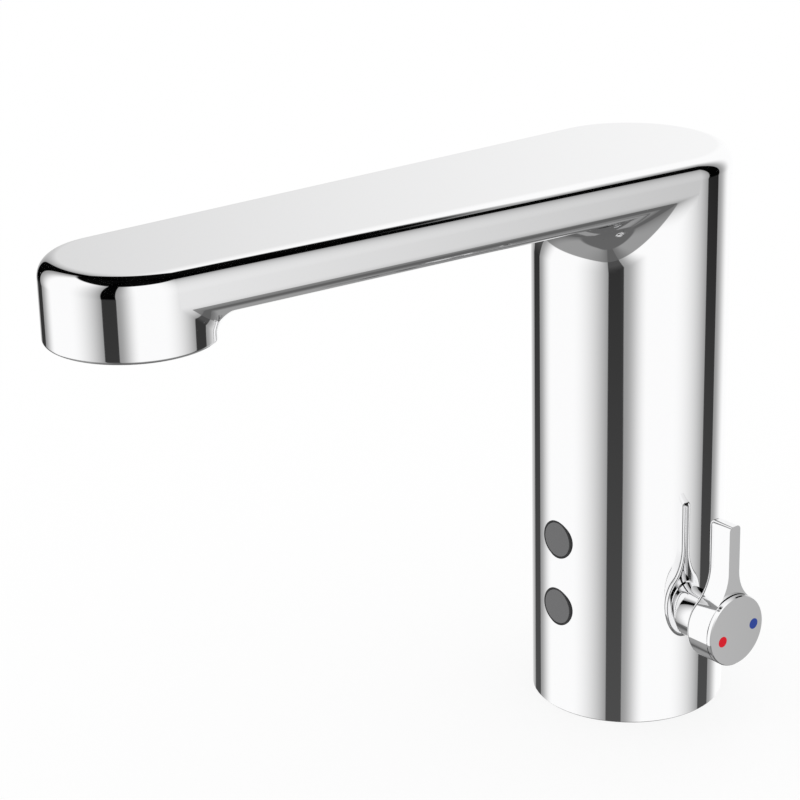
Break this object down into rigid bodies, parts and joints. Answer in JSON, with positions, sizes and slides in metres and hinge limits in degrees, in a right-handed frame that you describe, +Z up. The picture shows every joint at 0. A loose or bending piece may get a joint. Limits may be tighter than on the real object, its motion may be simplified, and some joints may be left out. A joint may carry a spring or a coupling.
{
  "type": "sensor tap",
  "caption": "Touchless basin tap in polished chrome: round column, flat tapering spout, two sensor windows in front and a side lever that mixes hot and cold.",
  "frame": {"origin": "centre of the round foot in the deck plane, on the axis of the fixing stud hole", "axes": "+Z up along the column, -Y forward along the spout, +X to the lever's side"},
  "size_m": [0.0658, 0.1956, 0.1532],
  "materials": {
    "chrome": "bright polished chrome plate",
    "brass": "raw cast and turned brass",
    "lens": "glossy infrared window, near black",
    "rubber": "matt black rubber",
    "steel": "stainless steel",
    "white_plastic": "natural white acetal",
    "grey_plastic": "light grey moulding",
    "black_plastic": "matt black moulding",
    "ceramic": "lapped alumina ceramic",
    "copper": "bright copper",
    "board": "green circuit board",
    "diode": "dark tinted epoxy",
    "hot_red": "red enamel",
    "cold_blue": "blue enamel"
  },
  "bodies": {
    "tap": {"tap_body": "chrome", "neck_sleeve": "chrome", "aerator_collar": "chrome", "base_block": "brass", "mixing_block": "brass", "barrel_plug": "brass", "upper_sensor_lens": "lens", "lower_sensor_lens": "lens", "lens_gaskets": "rubber", "base_gasket": "rubber", "outlet_washer": "rubber", "diaphragm": "rubber", "cable_grommet": "rubber", "base_screws": "steel", "bonnet_screws": "steel", "hot_check_spring": "steel", "cold_check_spring": "steel", "plunger_spring": "steel", "armature_guide": "steel", "coil_yoke": "steel", "coil_nut": "steel", "aerator_screen": "steel", "inlet_strainers": "steel", "valve_body": "white_plastic", "valve_bonnet": "white_plastic", "hot_check_valve": "white_plastic", "cold_check_valve": "white_plastic", "outlet_elbow": "white_plastic", "coil_bobbin": "white_plastic", "aerator_insert": "grey_plastic", "sensor_housing": "black_plastic", "mixing_liner": "ceramic", "spout_tube": "copper", "coil_winding": "copper", "sensor_board": "board", "emitter_diode": "diode", "receiver_diode": "diode"},
    "lever": {"mixing_lever": "chrome", "lever_cap": "chrome", "hot_dot": "hot_red", "cold_dot": "cold_blue", "lever_grub_screw": "steel", "lever_spindle": "brass", "spindle_seal": "rubber", "mixing_drum": "ceramic"},
    "armature": {"plunger": "steel", "plunger_tip_seal": "rubber"},
    "pilot": {"diaphragm_insert": "white_plastic"},
    "hot_poppet": {"hot_check_poppet": "white_plastic"},
    "cold_poppet": {"cold_check_poppet": "white_plastic"}
  },
  "joints": [
    {"name": "lever_turn", "type": "hinge", "parent": "tap", "child": "lever", "pos_m": [0.0355, 0, 0.02905], "axis": [1, 0, 0], "range_deg": [-45, 45]},
    {"name": "plunger_lift", "type": "slide", "parent": "tap", "child": "armature", "axis": [0, 0, 1], "range_m": [0, 0.002], "stiffness_N_per_m": 150, "springref_m": -0.004, "deforming": ["plunger_spring", "diaphragm"]},
    {"name": "pilot_lift", "type": "slide", "parent": "tap", "child": "pilot", "axis": [0, 0, 1], "range_m": [0, 0.0012]},
    {"name": "hot_check_lift", "type": "slide", "parent": "tap", "child": "hot_poppet", "axis": [0, 0, 1], "range_m": [0, 0.002], "stiffness_N_per_m": 80, "springref_m": -0.003, "deforming": ["hot_check_spring"]},
    {"name": "cold_check_lift", "type": "slide", "parent": "tap", "child": "cold_poppet", "axis": [0, 0, 1], "range_m": [0, 0.002], "stiffness_N_per_m": 80, "springref_m": -0.003, "deforming": ["cold_check_spring"]}
  ],
  "couplings": [
    {"joint": "pilot_lift", "follows": "plunger_lift", "ratio": 0.6}
  ]
}
